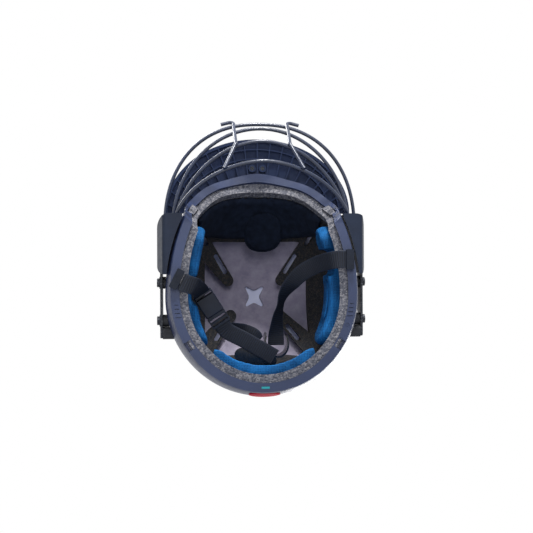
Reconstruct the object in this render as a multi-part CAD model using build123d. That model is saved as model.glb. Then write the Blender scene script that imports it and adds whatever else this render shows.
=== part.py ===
from build123d import *
import math
import os

# A cricket batting helmet that stands on the lowest bar of its guard and on the nape.
# Millimetres. +Z is up, the wearer looks along -Y, and +X is the wearer's left.
# The origin is the middle of the box's footprint.

# Dome, outside
shell_width = 226.0
shell_front = 166.0
shell_rear = 116.0
dome_rise = 137.0
dome_drop = 110.0
dome_mid_y = 45.0
equator_z = 50.0
shell_wall = 3.2
seat_gap = 0.15
overrun = 20.0

# Rim, seen from the side
ear_y = -40.0
ear_z = 13.0
nape_start_y = 105.0
nape_z = 0.0
nape_radius = 60.0

# Cut over the face, seen along a level line that is turned from the side view
brow_z = 107.0
brow_turn = 40.0
brow_start = -55.0
brow_middle, brow_middle_z = 0.0, 62.0
brow_end, brow_end_z = 40.0, -30.0
brow_radius = 45.0

# Rim trim
trim_height = 3.0
trim_flange = 7.8
trim_lip = 1.3
notch_depth = 4.2
notch_length = 11.0
slit_width = 1.1
slit_pitch = 4.6
slit_first_y = 52.0
slit_length = 4.0
slit_growth = 0.8
slit_depth = 1.4
slit_count = 4
notch_front_y, notch_front_z, notch_front_turn = -57.0, 46.0, -31.0
notch_rear_y, notch_rear_turn = 97.0, 32.0
dimple_radius = 2.6
dimple_depth = 0.4
dimple_ys = (76.0, 92.0)

# Foam ring, lining, felt and crown liner, as depths under the outer skin
ring_depth = 17.2
ring_height = 8.0
lining_thickness = 0.8
felt_thickness = 2.8
liner_depth = 16.0
felt_margin = 6.0
finger_tip_radius = 7.5
finger_base_half = 12.5
vent_width = 6.0
finger_shares = (((0.54, 0.35), (1.02, 0.05)), ((0.49, 0.67), (1.04, 0.93)))
vent_shares = (((0.78, 0.13), (0.6, 0.27)), ((0.63, 0.76), (0.79, 0.86)), ((1.06, -0.07), (0.97, 0.02)))

# Felt window in plan
window_half_width = 67.0
window_front_y = -23.0
window_rear_y = 124.0
window_corner = 16.0
star_half_width, star_half_depth = 13.5, 15.0
star_waist_x, star_waist_y = 6.5, 8.0
star_y = 51.0
star_waist_radius = 5.0

# Pads
pad_gap = 0.3
forehead_thickness = 6.5
forehead_half_width = 74.0
forehead_rear_y = -27.0
forehead_seam_z = 132.0
seam_width = 2.2
seam_depth = 1.6
tongue_width = 44.0
tongue_length = 46.0
tongue_x = 9.0
tongue_tip_y = -12.0
tongue_thickness = 3.2
side_pad_thickness = 17.0
side_pad_front_y = -36.0
side_pad_rear_y = 102.0
side_pad_low_z = 25.0
side_pad_high_z = 74.0
side_pad_corner = 19.0
flap_thickness = 3.0
flap_left_front_y = 27.0
flap_right_front_y = 55.0
flap_rear_y = 72.0
flap_low_z = 37.0
flap_high_z = 62.0
flap_corner = 8.0
rear_pad_thickness = 13.0
rear_pad_half_width = 57.0
rear_pad_high_z = 45.0
pad_round = 2.6
side_pad_round = 5.2
flap_round = 1.3
pad_parting = 1.2
relief_x = 84.0
relief_left_y = 6.0
relief_right_y = 38.0
relief_length = 30.0

# Peak
peak_edge_y = -151.5
peak_end_y = -57.0
peak_half_width = 116.0
peak_under_z = 113.4
peak_curve_radius = 700.0
peak_plate = 2.4
peak_rim = 3.6
rib_width = 1.5
rib_height = 3.2
rib_centre_y = 5.0
rib_angle = 6.3
rib_pairs = 9
hoop_inset = 12.0
hoop_pitch = 12.0
hoop_count = 2
screw_slot = 0.6
peak_screw_half_gap = 6.6
peak_screw_y = -114.6
screw_head_radius = 2.6
screw_head_height = 1.8
screw_shank_radius = 1.4
boss_radius = 4.6
boss_height = 4.0

# Face guard wires
wire = 4.2
socket_gap = 0.15
bar_side_y = -49.0
socket_depth = 9.0
bar_lift_power = 1.5
bar_a_front, bar_a_front_z = -161.4, 65.8
bar_b_front, bar_b_front_z = -153.7, 52.8
bar_c_front, bar_c_front_z = -133.9, 24.5
bar_d_front, bar_d_front_z = -108.0, 2.4
bar_a_half, bar_a_middle_y, bar_a_side_z = 113.7, -35.3, 61.0
bar_b_half, bar_b_middle_y, bar_b_side_z = 103.6, -37.4, 50.0
bar_c_half, bar_c_middle_y, bar_c_side_z = 101.4, -29.0, 39.0
bar_d_half, bar_d_middle_y, bar_d_side_z = 101.5, -37.3, 28.0
bar_a_fullness, bar_b_fullness, bar_c_fullness, bar_d_fullness = 0.88, 1.0, 1.07, 1.12
bar_points = 13
upright_low_x = 44.0
upright_mid_x = 31.0
upright_high_x = 32.0
upright_tail = 15.0
upright_bend = 6.0
upright_gap = 0.5
upright_top = 4.0
tail_back_share = 0.25

# Guard brackets, covers, arms and bolts
guard_pivot_y = 28.0
guard_pivot_z = 45.0
guard_bolt_pitch = 44.0
guard_down_angle = 3.0
guard_up_angle = 5.0
cover_front_y = -51.0
cover_rear_y = 18.0
cover_top_z = 74.0
cover_low_z = 17.0
cover_outer_x = 122.0
cover_low_outer_x = 114.0
cover_clearance = 3.4
cover_round = 5.0
cover_nose = 16.0
cover_tail = 9.0
groove_count = 5
groove_width = 2.0
groove_depth = 1.6
groove_share = 0.72
cover_foot = 22.0
arm_thickness = 2.5
arm_height = 19.0
arm_inner_x = 115.6
arm_overlap = 9.0
arm_rear_y = 92.0
bolt_radius = 2.5
bolt_gap = 0.3
bolt_head_radius = 5.2
bolt_head_height = 2.8
hex_socket_radius = 1.7
washer_thickness = 1.0
washer_radius = 7.0
nut_radius = 6.0
nut_thickness = 1.6
nut_barrel_radius = 4.0
nut_barrel = 2.4
end_block_length = 13.5
end_block_height = 20.0
end_block_inner_x = 98.0
end_block_reach = 1.0
arm_round = 4.0

# Chin strap and buckle
strap_width = 20.0
strap_thickness = 1.6
anchor_length = 9.0
anchor_height = 4.6
buckle_width = 24.0
buckle_thickness = 8.5
buckle_wall = 1.5
female_length = 30.0
male_frame_length = 15.0
frame_bar = 2.6
frame_root = 3.9
prong_width = 3.4
prong_thickness = 3.6
prong_length = 20.0
root_gap = 0.5
barb_height = 1.5
barb_rise = 3.0
barb_fall = 8.2
barb_setback = 4.9
cavity_start = 8.0
web_slot = 3.0
male_thickness = 5.0
bar_share = 0.6
keel_length = 10.0
slide_gap = 0.3
keel_width = 2.4
buckle_start_share = (-0.624, 0.363, 0.531)
buckle_heading_share = (0.53, 0.84, 0.18)
anchor_right_share = (-0.864, 0.204, 0.033)
anchor_left_share = (0.858, 0.018, 0.049)
anchor_right_turn = 26.6
cup_share = (0.177, 0.903, 0.726)
cup_half_width = 15.0
cup_half_length = 19.0
cup_wall = 2.2
cup_height = 22.0
cup_tongue_length = 52.0
cup_tongue_width = 17.0
cup_turn = -12.0
tongue_turn = 12.0
cup_tongue_share = (-0.053, 1.066, 0.637)
cup_mouth_depth = 11.0
backing_thickness = 1.6
backing_margin = 2.5
web_left_shares = (
    ((0.8142, 0.0177, 0.0487), (0.0, 1.0, 0.0)),
    ((0.7478, 0.0177, 0.0531), (0.0, 1.0, 0.0)),
    ((0.6858, 0.0265, 0.0973), (0.1, 1.0, 0.0)),
    ((0.6327, 0.0416, 0.1814), (0.2, 1.0, 0.0)),
    ((0.5752, 0.0637, 0.2699), (0.25, 1.0, 0.0)),
    ((0.5044, 0.1018, 0.354), (0.35, 1.0, 0.1)),
    ((0.4248, 0.1549, 0.4248), (0.55, 1.0, 0.25)),
    ((0.3407, 0.2478, 0.5044), (0.8, 0.9, 0.5)),
    ((0.2699, 0.354, 0.5796), (0.9, 0.5, 0.95)),
    ((0.2257, 0.4779, 0.646), (0.75, 0.2, 1.5)),
    ((0.1947, 0.6106, 0.6903), (0.85, 0.1, 1.0)),
    ((0.1814, 0.7434, 0.7124), (1.0, 0.0, 0.6)),
    ((0.177, 0.8407, 0.7257), (1.0, 0.0, 0.2)),
    ((0.177, 0.9425, 0.7283), (1.0, 0.0, 0.0)),
)
web_right_shares = (
    ((-0.8195, 0.2265, 0.0345), (-0.5, 1.0, 0.0)),
    ((-0.7611, 0.2558, 0.0398), (-0.55, 1.0, 0.0)),
    ((-0.6903, 0.2788, 0.0796), (-0.6, 1.0, 0.0)),
    ((-0.6681, 0.2965, 0.1681), (-0.7, 1.0, 0.0)),
    ((-0.6549, 0.3142, 0.2566), (-0.85, 1.0, 0.0)),
    ((-0.6372, 0.3363, 0.3717), (-1.1, 1.0, 0.0)),
    ((-0.6195, 0.3673, 0.485), (-1.58, 1.0, 0.0)),
)
web_double_shares = (
    ((-0.4106, 0.7, 0.6035), (-1.58, 1.0, 0.0)),
    ((-0.3876, 0.7372, 0.6106), (-1.5, 1.05, 0.0)),
    ((-0.3496, 0.7752, 0.6159), (-1.2, 1.4, 0.0)),
    ((-0.2832, 0.8142, 0.6195), (-1.1, 1.5, 0.0)),
    ((-0.1947, 0.8584, 0.6212), (-1.0, 1.7, 0.0)),
    ((-0.0796, 0.9248, 0.6195), (-1.0, 1.8, 0.0)),
    ((0.0354, 0.9912, 0.6106), (-1.0, 1.8, 0.0)),
    ((0.1504, 1.0602, 0.6018), (-1.0, 1.8, 0.0)),
)
web_tail_shares = (
    ((-0.3363, 0.7611, 0.6513), (-1.2, 1.4, 0.0)),
    ((-0.2655, 0.7743, 0.6903), (-1.1, 1.5, 0.0)),
    ((-0.1681, 0.7965, 0.7257), (-1.0, 1.7, 0.0)),
    ((-0.0841, 0.8319, 0.7212), (-1.0, 1.8, 0.0)),
    ((-0.0442, 0.8673, 0.6858), (-1.0, 1.8, 0.0)),
    ((-0.031, 0.8938, 0.6513), (-1.0, 1.8, 0.0)),
)

# Badge plate and rear insert
badge_width = 36.0
badge_height = 20.0
badge_z = 15.0
badge_thickness = 1.2
insert_width = 9.0
insert_depth = 2.4
insert_height = 2.2

half_width = shell_width / 2
lining_outer = shell_wall + seat_gap
lining_inner = lining_outer + lining_thickness
felt_outer = lining_inner + seat_gap
felt_inner = felt_outer + felt_thickness
pad_outer = liner_depth + pad_gap
far = shell_front + shell_rear
liner_start = trim_height + seat_gap + ring_height + seat_gap


# Dome solids
def dome_quarter(depth, front, upper):
    quarter = Sphere(1, 0, 90, 180, align=(Align.NONE, Align.NONE, Align.NONE))
    length = (shell_front if front else shell_rear) - depth
    rise = (dome_rise if upper else dome_drop) - depth
    upright = Rot(0, 0 if upper else 180, 0) * quarter
    turned = Rot(0, 0, 180 if front else 0) * upright
    return scale(turned, by=(half_width - depth, length, rise))


def dome(depth):
    quarters = [dome_quarter(depth, f, u) for f in (True, False) for u in (True, False)]
    whole = quarters[0] + quarters[1] + quarters[2] + quarters[3]
    return Pos(0, dome_mid_y, equator_z) * whole


dome_cache = {}


def dome_at(depth):
    if depth not in dome_cache:
        dome_cache[depth] = dome(depth)
    return dome_cache[depth]


def layer(outer, inner):
    return dome_at(outer) - dome_at(inner)


# The solid above the rim line, drawn in by an inset
def rim_outline():
    points = [
        (-far, ear_z),
        (ear_y, ear_z),
        (nape_start_y, nape_z),
        (far, nape_z),
        (far, far),
        (-far, far),
    ]
    face = make_face(Polyline(*points, close=True))
    corner = face.vertices().sort_by_distance((nape_start_y, nape_z, 0))[0]
    return fillet(corner, nape_radius)


# What the cut over the face takes away on one side, grown by an inset
def brow_block(inset):
    points = [
        (-far, brow_z),
        (brow_start, brow_z),
        (brow_middle, brow_middle_z),
        (brow_end, brow_end_z),
        (-far, brow_end_z),
    ]
    face = make_face(Polyline(*points, close=True))
    for along, z in points[1:3]:
        face = fillet(face.vertices().sort_by_distance((along, z, 0))[0], brow_radius)
    if inset > 0:
        face = offset(face, amount=inset, kind=Kind.INTERSECTION)
    block = extrude(Plane.YZ * face, amount=far, both=True)
    side = Box(far, far * 4, far * 4, align=(Align.MIN, Align.CENTER, Align.CENTER))
    return Rot(0, 0, -brow_turn) * block & side


rim_cache = {}


def above_rim(inset):
    if inset not in rim_cache:
        face = rim_outline()
        if inset > 0:
            face = offset(face, amount=-inset, kind=Kind.INTERSECTION)
        block = brow_block(inset)
        solid = extrude(Plane.YZ * face, amount=far, both=True)
        rim_cache[inset] = solid - [block, other_side(block)]
    return rim_cache[inset]


def rim_band(low, high):
    return above_rim(low) - above_rim(high)


def in_plan(face):
    return extrude(Pos(0, 0, equator_z) * face, amount=far)


def side_block(front, rear, low, high, corner):
    outline = RectangleRounded(rear - front, high - low, corner)
    middle = Pos((front + rear) / 2, (low + high) / 2)
    return extrude(Plane.YZ * (middle * outline), amount=far)


def pin_x(radius, start, end, y, z):
    pin = Cylinder(radius, end - start, rotation=(0, 90, 0))
    return Pos((start + end) / 2, y, z) * pin


def other_side(solid):
    return mirror(solid, about=Plane.YZ)


# Half the dome's width at a side place, less a depth
def skin_x(y, z, depth):
    length = (shell_front if y < dome_mid_y else shell_rear) - depth
    rise = (dome_rise if z > equator_z else dome_drop) - depth
    along = (y - dome_mid_y) / length
    up = (z - equator_z) / rise
    return (half_width - depth) * math.sqrt(1 - along**2 - up**2)


# Soft edges on the faces that look towards the head
def rounded_inside(solid, radius):
    middle = Vector(0, dome_mid_y, equator_z)
    seen = {}
    for face in solid.faces().filter_by(GeomType.BSPLINE):
        centre = face.center()
        if face.normal_at(centre).dot(middle - centre) > 0:
            for edge in face.edges():
                key = tuple(round(c, 3) for c in edge.center())
                seen.setdefault(key, []).append(edge)
    outer = [edges[0] for edges in seen.values() if len(edges) == 1]
    return fillet(outer, radius)


# Shell, with its bolt holes
def bolt_places():
    return [guard_pivot_y, guard_pivot_y + guard_bolt_pitch]


def both_sides(solids):
    return solids + [other_side(s) for s in solids]


def bolt_bores(radius):
    bores = []
    for y in bolt_places():
        bores.append(pin_x(radius, half_width - liner_depth, half_width + overrun, y, guard_pivot_z))
    return both_sides(bores)


def make_shell():
    solid = layer(0, shell_wall) & above_rim(trim_height + seat_gap)
    return solid - bolt_bores(bolt_radius + seat_gap)


# Rim trim with notches, slits and ejector dimples
def notch_places():
    temple = skin_x(notch_front_y, notch_front_z, trim_flange)
    rear = skin_x(notch_rear_y, ear_z, trim_flange)
    return [(temple, notch_front_y, notch_front_turn), (rear, notch_rear_y, notch_rear_turn)]


def notch_blocks(grow):
    blocks = []
    for x, y, turn in notch_places():
        size = (notch_depth * 2 + grow * 2, notch_length + grow * 2)
        block = Box(size[0], size[1], far, align=(Align.CENTER, Align.CENTER, Align.MIN))
        blocks.append(Pos(x, y, nape_z - overrun) * (Rot(0, 0, turn) * block))
    return both_sides(blocks)


def rim_low_z(y):
    slope = (nape_z - ear_z) / (nape_start_y - ear_y)
    return ear_z + slope * (y - ear_y)


def slit_cuts():
    cuts = []
    for index in range(slit_count):
        y = slit_first_y + index * slit_pitch
        length = slit_length + index * slit_growth
        x = skin_x(y, rim_low_z(y), trim_flange / 2)
        cut = Box(length, slit_width, slit_depth * 2)
        cuts.append(Pos(x, y, rim_low_z(y)) * cut)
    return both_sides(cuts)


def dimple_cuts():
    cuts = []
    for y in dimple_ys:
        x = skin_x(y, rim_low_z(y), trim_flange / 2)
        cut = Cylinder(dimple_radius, dimple_depth * 2)
        cuts.append(Pos(x, y, rim_low_z(y)) * cut)
    return cuts


def insert_slot(grow):
    size = (insert_width + grow * 2, insert_depth + grow * 2, insert_height * 2 + grow * 2)
    y = dome_mid_y + shell_rear_at_rim() - trim_flange / 2
    return Pos(0, y, nape_z) * Box(*size)


def shell_rear_at_rim():
    drop = (equator_z - nape_z) / dome_drop
    return shell_rear * math.sqrt(1 - drop**2)


def make_rim_trim():
    solid = layer(-trim_lip, trim_flange) & rim_band(0, trim_height)
    cuts = notch_blocks(0) + slit_cuts() + dimple_cuts() + [insert_slot(seat_gap)]
    return solid - cuts


def make_rear_insert():
    upper = Pos(0, 0, nape_z) * Box(far, far * 2, far, align=(Align.CENTER, Align.CENTER, Align.MIN))
    return insert_slot(0) & upper


# Foam ring with tabs that key into the notches
def make_liner_ring():
    inset = trim_height + seat_gap
    ring = layer(lining_outer, ring_depth) & rim_band(inset, inset + ring_height)
    tab_zone = layer(trim_flange - notch_depth + seat_gap, ring_depth) & rim_band(seat_gap, inset)
    tabs = [tab_zone & block for block in notch_blocks(-seat_gap)]
    return ring + tabs


# Lining, felt and crown liner
def make_lining():
    return layer(lining_outer, lining_inner) & above_rim(liner_start) - nut_pockets()


def window_point(share, side):
    depth = window_rear_y - window_front_y
    return Vector(side * share[0] * window_half_width, window_front_y + share[1] * depth)


def finger(tip, base):
    axis = base - tip
    across = Vector(-axis.Y, axis.X).normalized()
    near = across * finger_tip_radius
    wide = across * finger_base_half
    corners = [tip + near, base + wide, base - wide, tip - near]
    body = make_face(Polyline(*corners, close=True))
    return body + Pos(tip) * Circle(finger_tip_radius)


def fingers():
    shapes = []
    for side in (1, -1):
        for tip, base in finger_shares:
            shapes.append(finger(window_point(tip, side), window_point(base, side)))
    return shapes


def window_face(grow):
    width = (window_half_width + grow) * 2
    depth = window_rear_y - window_front_y + grow * 2
    middle = (window_rear_y + window_front_y) / 2
    return Pos(0, middle) * RectangleRounded(width, depth, window_corner)


def window_opening():
    return window_face(0) - fingers()


def vent_face(start, end):
    run = end - start
    turn = math.degrees(math.atan2(run.Y, run.X))
    slot = SlotOverall(run.length + vent_width, vent_width, rotation=turn)
    return Pos((start + end) / 2) * slot


def vent_cuts():
    cuts = []
    for side in (1, -1):
        for start, end in vent_shares:
            cuts.append(in_plan(vent_face(window_point(start, side), window_point(end, side))))
    return cuts


def star_face():
    w, d, a, b = star_half_width, star_half_depth, star_waist_x, star_waist_y
    waists = [(0, -b), (a, 0), (0, b), (-a, 0)]
    points = [(-w, -d), waists[0], (w, -d), waists[1], (w, d), waists[2], (-w, d), waists[3]]
    face = make_face(Polyline(*points, close=True))
    for x, y in waists:
        face = fillet(face.vertices().sort_by_distance((x, y, 0))[0], star_waist_radius)
    return Pos(0, star_y) * face


def felt_zone():
    return in_plan(window_face(felt_margin))


def make_crown_pad():
    solid = layer(felt_outer, felt_inner) & felt_zone() & above_rim(liner_start)
    return solid - [in_plan(star_face())] - vent_cuts()


def nut_pockets():
    depth = lining_outer + nut_thickness + nut_barrel + seat_gap
    pockets = []
    for y in bolt_places():
        inner = skin_x(y, guard_pivot_z, depth)
        pockets.append(pin_x(nut_radius + seat_gap, inner, half_width, y, guard_pivot_z))
    return both_sides(pockets)


def make_crown_liner():
    solid = layer(lining_inner + seat_gap, liner_depth) & above_rim(liner_start)
    bed = layer(lining_inner, felt_inner + seat_gap) & in_plan(window_face(felt_margin + seat_gap))
    openings = [bed, in_plan(window_opening())]
    return solid - openings - vent_cuts() - nut_pockets()


# Pads on the crown liner
def pad_layer(thickness, start=pad_outer):
    return layer(start, start + thickness)


def make_forehead_pad():
    depth = forehead_rear_y + far
    block = Box(forehead_half_width * 2, depth, far * 2, align=(Align.CENTER, Align.MAX, Align.CENTER))
    solid = pad_layer(forehead_thickness) & Pos(0, forehead_rear_y, 0) * block
    solid = rounded_inside(solid, pad_round) & above_rim(liner_start)
    groove = layer(pad_outer + forehead_thickness - seam_depth, pad_outer + forehead_thickness + seam_depth)
    slab = Pos(0, 0, forehead_seam_z) * Box(far * 2, far * 2, seam_width)
    return solid - (groove & slab)


def tongue_outline(grow):
    width = tongue_width + grow * 2
    middle = (tongue_x, tongue_tip_y + grow - (tongue_length + grow) / 2)
    return Pos(*middle) * RectangleRounded(width, tongue_length + grow, tongue_width / 2 - pad_round)


def make_tongue(start, grow, thickness):
    return pad_layer(thickness, start) & in_plan(tongue_outline(grow))


def make_side_pad(relief_y):
    block = side_block(
        side_pad_front_y, side_pad_rear_y, side_pad_low_z, side_pad_high_z, side_pad_corner
    )
    solid = rounded_inside(pad_layer(side_pad_thickness) & block, side_pad_round) & above_rim(liner_start)
    relief = Box(far, relief_length, far, align=(Align.MAX, Align.CENTER, Align.CENTER))
    return solid - Pos(relief_x, relief_y, equator_z) * relief


def make_side_flap(front_y):
    block = side_block(front_y, flap_rear_y, flap_low_z, flap_high_z, flap_corner)
    start = pad_outer + side_pad_thickness + pad_gap
    return rounded_inside(pad_layer(flap_thickness, start) & block, flap_round)


def make_rear_pad():
    block = Box(rear_pad_half_width * 2, far, far, align=(Align.CENTER, Align.MIN, Align.MAX))
    solid = pad_layer(rear_pad_thickness) & Pos(0, side_pad_rear_y + pad_parting, rear_pad_high_z) * block
    return rounded_inside(solid, pad_round) & above_rim(liner_start)


# Peak
def peak_ellipse(inset):
    width = peak_half_width - inset
    depth = peak_end_y - peak_edge_y - inset
    face = Pos(0, peak_end_y) * Ellipse(width, depth)
    front = Pos(0, peak_end_y) * Rectangle(far * 2, far, align=(Align.CENTER, Align.MAX))
    return face & front


def peak_plan(inset):
    return Pos(0, 0, equator_z) * extrude(peak_ellipse(inset), amount=far)


def brim_slab(low, high):
    outer = Cylinder(peak_curve_radius + high, far * 2, rotation=(90, 0, 0))
    inner = Cylinder(peak_curve_radius + low, far * 2, rotation=(90, 0, 0))
    return Pos(0, 0, peak_under_z - peak_curve_radius) * (outer - inner)


def radial_ribs():
    rib = Box(rib_width, far, far, align=(Align.CENTER, Align.MAX, Align.CENTER))
    ribs = []
    for index in range(-rib_pairs, rib_pairs + 1):
        ribs.append(Pos(0, rib_centre_y, peak_under_z) * (Rot(0, 0, index * rib_angle) * rib))
    return ribs


def hoop_ribs():
    edge = peak_plan(0) - peak_plan(peak_rim)
    hoops = [edge]
    for index in range(hoop_count):
        inset = hoop_inset + index * hoop_pitch
        hoops.append(peak_plan(inset) - peak_plan(inset + rib_width))
    return hoops


def screw_places():
    return [(-peak_screw_half_gap, peak_screw_y), (peak_screw_half_gap, peak_screw_y)]


def screw_boss(x, y, radius, low):
    height = peak_plate + boss_height
    return Pos(x, y, low) * Cylinder(radius, height, align=(Align.CENTER, Align.CENTER, Align.MIN))


def make_peak():
    plate = (brim_slab(0, peak_plate) & peak_plan(0)) - dome_at(-seat_gap)
    zone = (brim_slab(-rib_height, 0) & peak_plan(0)) - dome_at(-(trim_lip + pad_gap))
    hoops = hoop_ribs()
    ribs = zone & (hoops[0] + hoops[1:] + radial_ribs())
    low = peak_under_z - boss_height
    bosses = [screw_boss(x, y, boss_radius, low) for x, y in screw_places()]
    return plate + [ribs] + bosses - screw_bores(low)


def screw_bores(low):
    bores = []
    for x, y in screw_places():
        head = Cylinder(screw_head_radius + seat_gap, (screw_head_height + seat_gap) * 2)
        shank = Cylinder(screw_shank_radius + seat_gap, boss_height * 2)
        bores.append(Pos(x, y, low) * (head + shank))
    return bores


def make_peak_screw(x, y):
    low = peak_under_z - boss_height
    up = (Align.CENTER, Align.CENTER, Align.MIN)
    head = Cylinder(screw_head_radius, screw_head_height, align=up)
    shank = Cylinder(screw_shank_radius, boss_height - seat_gap, align=up)
    cross = Box(screw_head_radius, screw_slot, screw_slot * 2)
    cross += Box(screw_slot, screw_head_radius, screw_slot * 2)
    return Pos(x, y, low) * (head + shank - cross)


# Face guard bars
bars = {
    "bar_a": (bar_a_front, bar_a_front_z, bar_a_half, bar_a_middle_y, bar_a_side_z, bar_a_fullness),
    "bar_b": (bar_b_front, bar_b_front_z, bar_b_half, bar_b_middle_y, bar_b_side_z, bar_b_fullness),
    "bar_c": (bar_c_front, bar_c_front_z, bar_c_half, bar_c_middle_y, bar_c_side_z, bar_c_fullness),
    "bar_d": (bar_d_front, bar_d_front_z, bar_d_half, bar_d_middle_y, bar_d_side_z, bar_d_fullness),
}


def bar_point(name, turn):
    front, front_z, half, middle, side_z, power = bars[name]
    across = math.cos(turn)
    ahead = math.sin(turn)
    x = math.copysign(half * abs(across) ** power, across)
    y = middle - (middle - front) * ahead**power
    z = side_z + (front_z - side_z) * ahead**bar_lift_power
    return (x, y, z)


def bar_end_turn(name):
    front, front_z, half, middle, side_z, power = bars[name]
    end_y = min(bar_side_y + socket_depth, middle - wire)
    return math.asin(((middle - end_y) / (middle - front)) ** (1 / power))


def bar_path(name):
    start = bar_end_turn(name)
    span = math.pi - start * 2
    turns = [start + span * k / (bar_points - 1) for k in range(bar_points)]
    return Spline(*[bar_point(name, turn) for turn in turns])


def wire_along(path, radius):
    start = Plane(origin=path @ 0, z_dir=path % 0)
    return sweep(start * Circle(radius), path=path)


def make_bar(name):
    return wire_along(bar_path(name), wire / 2)


# Uprights, laid on the front of the bars
def bar_point_at(name, x):
    front, front_z, half, middle, side_z, power = bars[name]
    return Vector(*bar_point(name, math.acos((x / half) ** (1 / power))))


def upright_points():
    spans = [("bar_d", upright_low_x), ("bar_c", upright_mid_x)]
    spans += [("bar_b", upright_high_x), ("bar_a", upright_high_x)]
    centres = [bar_point_at(name, x) for name, x in spans]
    points = []
    for index, centre in enumerate(centres):
        before = centres[max(index - 1, 0)]
        after = centres[min(index + 1, len(centres) - 1)]
        run = after - before
        ahead = Vector(0, -run.Z, run.Y).normalized()
        points.append(centre + ahead * (wire + upright_gap))
    start = points[0] + (points[0] - points[1]).normalized() * wire / 2
    side = Vector(upright_tail, upright_tail * tail_back_share, 0)
    top = points[-1] + (points[-1] - points[-2]).normalized() * upright_top
    return [start, points[1], points[2], top, top + side]


def make_upright():
    path = FilletPolyline(*upright_points(), radius=upright_bend)
    return wire_along(path, wire / 2)


# Covers that carry the bar ends
def cover_block():
    corners = [
        (cover_outer_x, cover_top_z),
        (cover_outer_x, guard_pivot_z),
        (cover_low_outer_x, cover_low_z),
        (cover_low_outer_x - cover_foot, cover_low_z),
        (cover_low_outer_x - cover_foot, cover_top_z),
    ]
    face = make_face(Polyline(*corners, close=True))
    for x, z in corners[:3]:
        face = fillet(face.vertices().sort_by_distance((x, z, 0))[0], cover_round)
    length = cover_rear_y - cover_front_y
    block = Pos(0, cover_rear_y, 0) * extrude(Plane.XZ * face, amount=length)
    return block & extrude(cover_plan(), amount=far)


def cover_plan():
    inner = cover_low_outer_x - cover_foot
    outline = Polyline(
        (inner, cover_front_y),
        (cover_outer_x, cover_front_y),
        (cover_outer_x, cover_rear_y),
        (inner, cover_rear_y),
        close=True,
    )
    face = make_face(outline)
    for y, radius in ((cover_front_y, cover_nose), (cover_rear_y, cover_tail)):
        face = fillet(face.vertices().sort_by_distance((cover_outer_x, y, 0))[0], radius)
    return face


def cover_grooves():
    grooves = []
    pitch = (cover_top_z - guard_pivot_z) / groove_count
    length = (cover_rear_y - cover_front_y) * groove_share
    middle = (cover_rear_y + cover_front_y) / 2
    for index in range(groove_count):
        z = guard_pivot_z + pitch * index
        grooves.append(Pos(cover_outer_x, middle, z) * Box(groove_depth * 2, length, groove_width))
    return grooves


def arm_plate(grow):
    front = cover_rear_y - arm_overlap - grow
    height = arm_height + grow * 2
    thick = arm_thickness + grow * 2
    box = Box(thick, arm_rear_y - front, height, align=(Align.MIN, Align.MIN, Align.CENTER))
    return Pos(arm_inner_x - grow, front, guard_pivot_z) * box


def make_cover():
    solid = cover_block() - dome_at(-cover_clearance)
    sockets = [wire_along(bar_path(name), wire / 2 + socket_gap) for name in bars]
    return solid - (cover_grooves() + sockets + [arm_plate(seat_gap)])


# Arms, washers, bolts, bosses, nuts and end blocks
def slot_face():
    swing = guard_down_angle + guard_up_angle
    arc = CenterArc((guard_pivot_y, guard_pivot_z), guard_bolt_pitch, -guard_down_angle, swing)
    return SlotArc(arc, (bolt_radius + bolt_gap) * 2)


def make_arm():
    solid = arm_plate(0)
    edges = solid.edges().filter_by(Axis.X).group_by(Axis.Y)[-1]
    solid = fillet(edges, arm_round)
    solid -= pin_x(bolt_radius + bolt_gap, 0, cover_outer_x, guard_pivot_y, guard_pivot_z)
    return solid - extrude(Plane.YZ * slot_face(), amount=far)


def arm_outer_x():
    return arm_inner_x + arm_thickness


def make_washer(y):
    start = arm_outer_x() + seat_gap
    ring = pin_x(washer_radius, start, start + washer_thickness, y, guard_pivot_z)
    return ring - pin_x(bolt_radius + seat_gap, 0, far, y, guard_pivot_z)


def nut_inner_x(y):
    return skin_x(y, guard_pivot_z, lining_outer + nut_thickness + nut_barrel)


def make_bolt(y):
    head_start = arm_outer_x() + seat_gap + washer_thickness
    head_end = head_start + bolt_head_height
    head = pin_x(bolt_head_radius, head_start, head_end, y, guard_pivot_z)
    shank = pin_x(bolt_radius, nut_inner_x(y), head_start, y, guard_pivot_z)
    socket = RegularPolygon(hex_socket_radius, 6)
    cut = extrude(Plane.YZ * (Pos(y, guard_pivot_z) * socket), amount=far)
    deep = Pos(head_end - bolt_head_height / 2, 0, 0) * cut
    return head + shank - deep


def make_boss(y):
    inner = skin_x(y, guard_pivot_z, liner_depth)
    block = pin_x(washer_radius, inner, arm_inner_x - seat_gap, y, guard_pivot_z)
    block -= dome_at(-seat_gap)
    return block - pin_x(bolt_radius + seat_gap, 0, far, y, guard_pivot_z)


def make_nut(y):
    inner = skin_x(y, guard_pivot_z, liner_depth)
    flange = pin_x(nut_radius, inner, half_width, y, guard_pivot_z)
    barrel = pin_x(nut_barrel_radius, nut_inner_x(y), half_width, y, guard_pivot_z)
    seat = dome_at(lining_outer)
    flange = (flange & seat) - dome_at(lining_outer + nut_thickness)
    barrel = barrel & seat
    return flange + barrel - pin_x(bolt_radius + seat_gap / 2, 0, far, y, guard_pivot_z)


def make_end_block():
    width = arm_inner_x - pad_gap - end_block_inner_x
    size = (width, end_block_length, end_block_height)
    block = Box(*size, align=(Align.MAX, Align.MAX, Align.CENTER))
    block = fillet(block.edges().filter_by(Axis.X), arm_round)
    block = Pos(arm_inner_x - pad_gap, arm_rear_y + end_block_reach, guard_pivot_z) * block
    return block - dome_at(-seat_gap)


# Badge plate at the rear
def make_badge():
    oval = Ellipse(badge_width / 2, badge_height / 2)
    bar = extrude(Plane.XZ * (Pos(0, badge_z) * oval), amount=-far)
    return layer(-(badge_thickness + seat_gap), -seat_gap) & bar


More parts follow.
